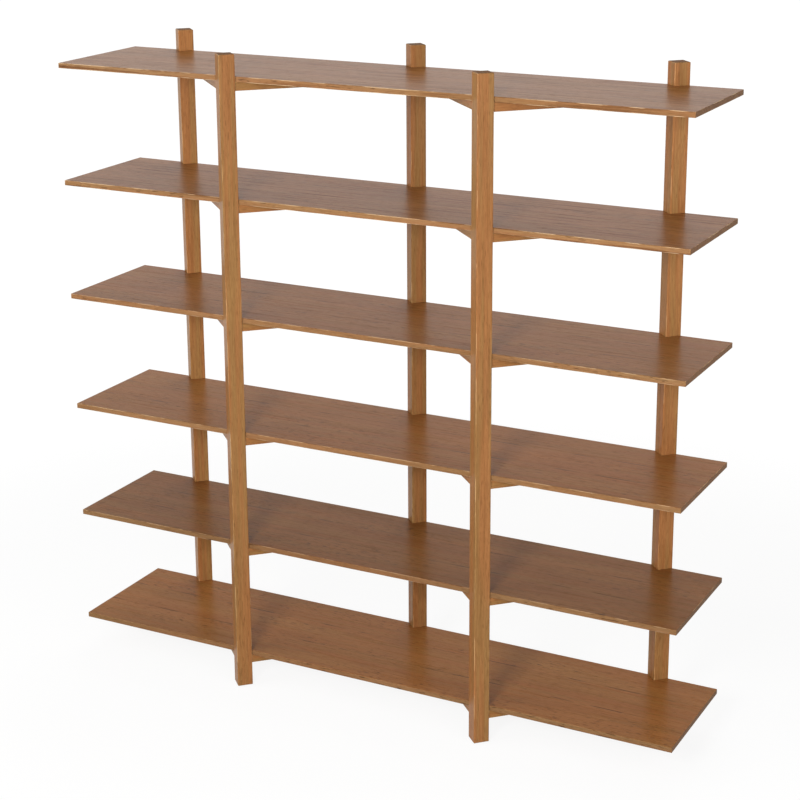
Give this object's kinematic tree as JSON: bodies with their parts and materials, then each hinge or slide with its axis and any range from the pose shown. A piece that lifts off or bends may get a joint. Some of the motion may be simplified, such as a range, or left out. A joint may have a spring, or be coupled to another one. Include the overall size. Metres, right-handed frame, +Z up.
{
  "type": "shelving unit",
  "caption": "Open wooden shelving unit: long shelves notched round square posts set cornerwise, tied by zigzag rails under each shelf.",
  "frame": {"origin": "on the floor, midway along the unit and midway from front to back", "axes": "+X along the shelves, to the right seen from the front; +Y to the back, where the greater number of posts stand; +Z up"},
  "size_m": [1.9, 0.4476, 1.878],
  "materials": {
    "post_wood": "stained solid wood, satin lacquer",
    "shelf_wood": "stained veneer, semi-gloss lacquer",
    "rail_wood": "stained solid wood, satin lacquer",
    "dowel_wood": "plain beech, unfinished",
    "bolt_steel": "zinc-plated steel",
    "lock_zinc": "die-cast zinc",
    "screw_steel": "zinc-plated steel",
    "glide_nylon": "dark brown nylon"
  },
  "bodies": {
    "root": {"post_rear_left": "post_wood", "post_front_left": "post_wood", "post_rear_centre": "post_wood", "post_front_right": "post_wood", "post_rear_right": "post_wood", "shelf_1": "shelf_wood", "shelf_2": "shelf_wood", "shelf_3": "shelf_wood", "shelf_4": "shelf_wood", "shelf_5": "shelf_wood", "shelf_6": "shelf_wood", "rail_1_outer_left": "rail_wood", "rail_1_inner_left": "rail_wood", "rail_1_inner_right": "rail_wood", "rail_1_outer_right": "rail_wood", "rail_2_outer_left": "rail_wood", "rail_2_inner_left": "rail_wood", "rail_2_inner_right": "rail_wood", "rail_2_outer_right": "rail_wood", "rail_3_outer_left": "rail_wood", "rail_3_inner_left": "rail_wood", "rail_3_inner_right": "rail_wood", "rail_3_outer_right": "rail_wood", "rail_4_outer_left": "rail_wood", "rail_4_inner_left": "rail_wood", "rail_4_inner_right": "rail_wood", "rail_4_outer_right": "rail_wood", "rail_5_outer_left": "rail_wood", "rail_5_inner_left": "rail_wood", "rail_5_inner_right": "rail_wood", "rail_5_outer_right": "rail_wood", "rail_6_outer_left": "rail_wood", "rail_6_inner_left": "rail_wood", "rail_6_inner_right": "rail_wood", "rail_6_outer_right": "rail_wood", "cam_bolts": "bolt_steel", "cam_locks": "lock_zinc", "rail_dowels": "dowel_wood", "shelf_screws": "screw_steel", "foot_glides": "glide_nylon"}
  },
  "joints": []
}
